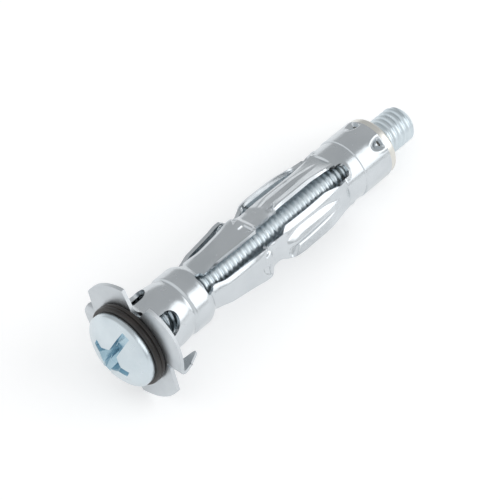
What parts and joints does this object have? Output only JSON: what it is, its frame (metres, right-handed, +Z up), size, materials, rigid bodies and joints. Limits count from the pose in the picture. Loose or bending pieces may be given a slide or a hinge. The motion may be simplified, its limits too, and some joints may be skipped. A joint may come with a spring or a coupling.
{
  "type": "metal hollow wall anchor",
  "caption": "Zinc-plated hollow wall anchor: a slotted expanding sheet sleeve with a clawed collar, an end nut and a domed machine screw over a dark washer.",
  "frame": {"origin": "on the axis of the anchor at the wall side of the collar, at the mouth of the drilled hole", "axes": "+Y along the axis from the screw head into the wall, +Z up, +X to the right; one open notch of the collar faces down"},
  "size_m": [0.0188, 0.063, 0.0186],
  "materials": {
    "sleeve_zinc": "bright zinc plate on formed sheet steel",
    "nut_zinc": "pale zinc plate on turned steel",
    "screw_zinc": "bright bluish zinc plate",
    "washer_dark": "dark brown-black, half gloss"
  },
  "bodies": {
    "anchor": {"expansion_sleeve": "sleeve_zinc", "end_nut": "nut_zinc"},
    "washer": {"retaining_washer": "washer_dark"},
    "screw": {"machine_screw": "screw_zinc"}
  },
  "joints": [
    {"name": "screw_travel", "type": "slide", "parent": "anchor", "child": "washer", "axis": [0, -1, 0], "range_m": [0, 0.014]},
    {"name": "screw_turn", "type": "hinge", "parent": "washer", "child": "screw", "pos_m": [0, 0, 0], "axis": [0, -1, 0], "range_deg": [0, 5042]}
  ],
  "couplings": [
    {"joint": "screw_turn", "follows": "screw_travel", "rad_per_m": 6283.2}
  ]
}
